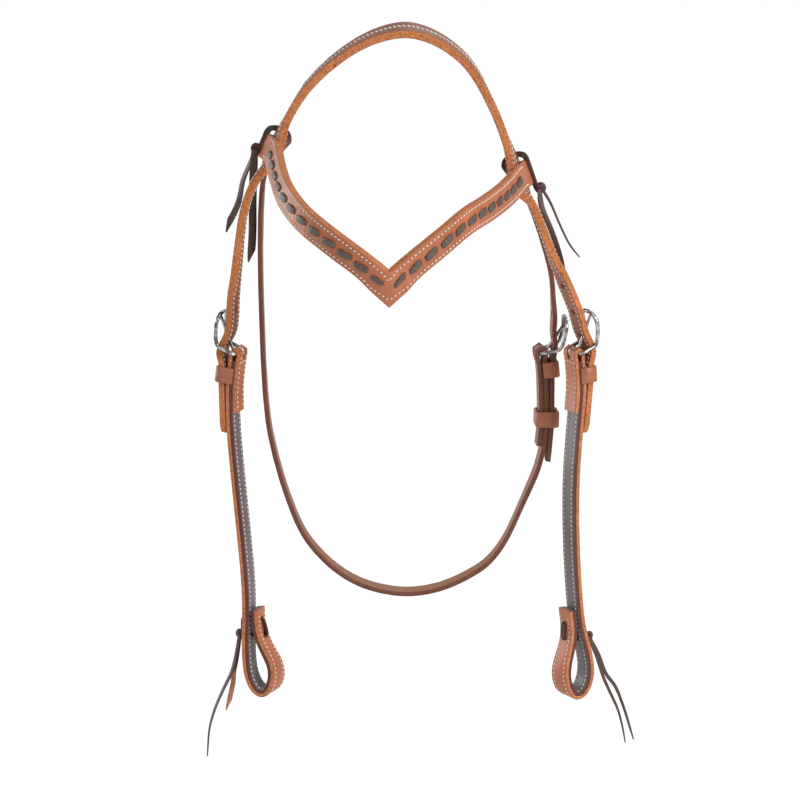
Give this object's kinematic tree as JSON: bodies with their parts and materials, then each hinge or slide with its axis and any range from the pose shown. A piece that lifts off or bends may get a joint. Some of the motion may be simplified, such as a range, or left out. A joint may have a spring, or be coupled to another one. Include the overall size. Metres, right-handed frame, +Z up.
{
  "type": "western headstall",
  "caption": "Doubled russet leather headstall with a split crown, buckstitched V browband, buckled cheeks with lace-tied bit loops and a buckled throatlatch.",
  "frame": {"origin": "underside of the crown at the poll, in the middle of its width", "axes": "+X to the right of the headstall as its browband faces the viewer, +Y back towards the neck, +Z up"},
  "size_m": [0.3163, 0.1655, 0.5344],
  "materials": {
    "russet_leather": "waxed",
    "crown_leather": "waxed",
    "throat_leather": "waxed",
    "dark_lining": "matt",
    "dark_lace": "matt",
    "buckstitch_lace": "matt",
    "bright_steel": "polished"
  },
  "bodies": {
    "headstall": {"crown_outer": "crown_leather", "crown_lining": "crown_leather", "throatlatch_strap": "throat_leather", "throat_billet": "throat_leather", "throat_fixed_keeper": "russet_leather", "left_cheek_outer": "russet_leather", "left_cheek_liner": "dark_lining", "left_cheek_keeper": "russet_leather", "left_bit_tie": "dark_lace", "right_cheek_outer": "russet_leather", "right_cheek_liner": "dark_lining", "right_cheek_keeper": "russet_leather", "right_bit_tie": "dark_lace", "left_bit_tail_a": "dark_lace", "left_bit_tail_b": "dark_lace", "right_bit_tail_a": "dark_lace", "right_bit_tail_b": "dark_lace"},
    "browband": {"browband_outer": "russet_leather", "browband_lining": "dark_lining", "left_buckstitch_lace": "buckstitch_lace", "left_brow_tie": "dark_lace", "right_buckstitch_lace": "buckstitch_lace", "right_brow_tie": "dark_lace", "left_brow_tail_a": "dark_lace", "left_brow_tail_b": "dark_lace", "right_brow_tail_a": "dark_lace", "right_brow_tail_b": "dark_lace"},
    "left_frame": {"left_cheek_buckle_frame": "bright_steel"},
    "left_tongue": {"left_cheek_buckle_tongue": "bright_steel"},
    "right_frame": {"right_cheek_buckle_frame": "bright_steel"},
    "right_tongue": {"right_cheek_buckle_tongue": "bright_steel"},
    "throat_frame": {"throat_buckle_frame": "bright_steel"},
    "throat_tongue": {"throat_buckle_tongue": "bright_steel"},
    "slider": {"throat_sliding_keeper": "russet_leather"}
  },
  "joints": [
    {"name": "browband_lift", "type": "hinge", "parent": "headstall", "child": "browband", "pos_m": [-0.093, 0, -0.0825], "axis": [-0.9941, 0, 0.1087], "range_deg": [0, 3]},
    {"name": "left_frame_rock", "type": "hinge", "parent": "headstall", "child": "left_frame", "pos_m": [-0.1188, -0.01, -0.2256], "axis": [-0.2924, -0.9563, 0], "range_deg": [0, 4]},
    {"name": "left_tongue_lift", "type": "hinge", "parent": "left_frame", "child": "left_tongue", "pos_m": [-0.1188, -0.01, -0.2256], "axis": [-0.2924, -0.9563, 0], "range_deg": [0, 8]},
    {"name": "right_frame_rock", "type": "hinge", "parent": "headstall", "child": "right_frame", "pos_m": [0.1206, -0.01, -0.2256], "axis": [-0.454, 0.891, 0], "range_deg": [0, 4]},
    {"name": "right_tongue_lift", "type": "hinge", "parent": "right_frame", "child": "right_tongue", "pos_m": [0.1206, -0.01, -0.2256], "axis": [-0.454, 0.891, 0], "range_deg": [0, 8]},
    {"name": "throat_frame_rock", "type": "hinge", "parent": "headstall", "child": "throat_frame", "pos_m": [0.0979, 0.02, -0.2308], "axis": [-0.0698, 0.9976, 0], "range_deg": [0, 4]},
    {"name": "throat_tongue_lift", "type": "hinge", "parent": "throat_frame", "child": "throat_tongue", "pos_m": [0.0979, 0.02, -0.2308], "axis": [-0.0698, 0.9976, 0], "range_deg": [0, 8]},
    {"name": "throat_keeper_slide", "type": "slide", "parent": "headstall", "child": "slider", "axis": [-0.0101, -0.0007, 0.9999], "range_m": [0, 0.018]}
  ]
}
